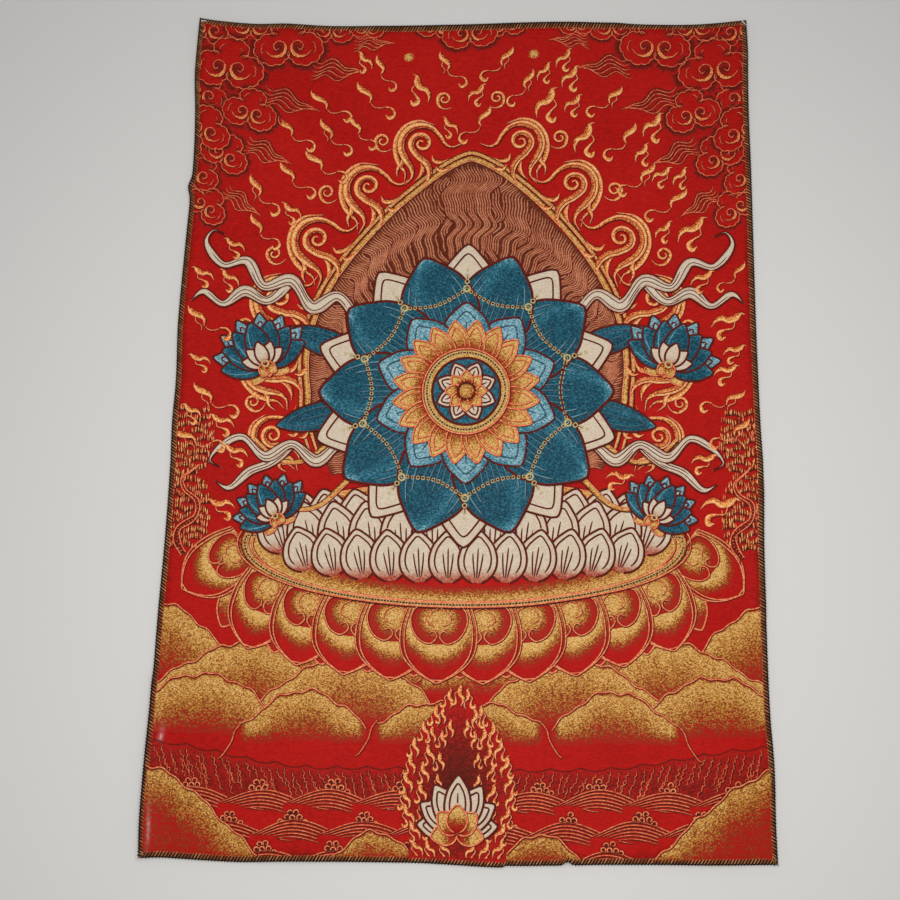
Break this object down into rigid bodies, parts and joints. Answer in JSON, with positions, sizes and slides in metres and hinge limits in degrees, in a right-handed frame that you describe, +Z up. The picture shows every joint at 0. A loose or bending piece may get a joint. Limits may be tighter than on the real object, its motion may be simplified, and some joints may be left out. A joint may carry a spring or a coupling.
{
  "type": "woven thangka panel with corner staples",
  "caption": "Unmounted thangka-style brocade panel with an overlocked edge, hung flat against a wall by a wire staple through each top corner.",
  "frame": {"origin": "middle of the cloth's top edge", "axes": "+Z up along the drop, +X to the viewer's right across the cloth, -Y out of the figured face towards the viewer"},
  "size_m": [0.6251, 0.009, 0.9068],
  "materials": {
    "figured_cloth": "red satin ground with gold, copper, teal, pale blue and cream weft figures",
    "overlock_thread": "near-black olive and old-gold twisted thread",
    "staple_wire": "bright galvanised wire"
  },
  "bodies": {
    "root": {"panel": "figured_cloth", "overlock_edge": "overlock_thread", "staple_left": "staple_wire", "staple_right": "staple_wire"}
  },
  "joints": []
}
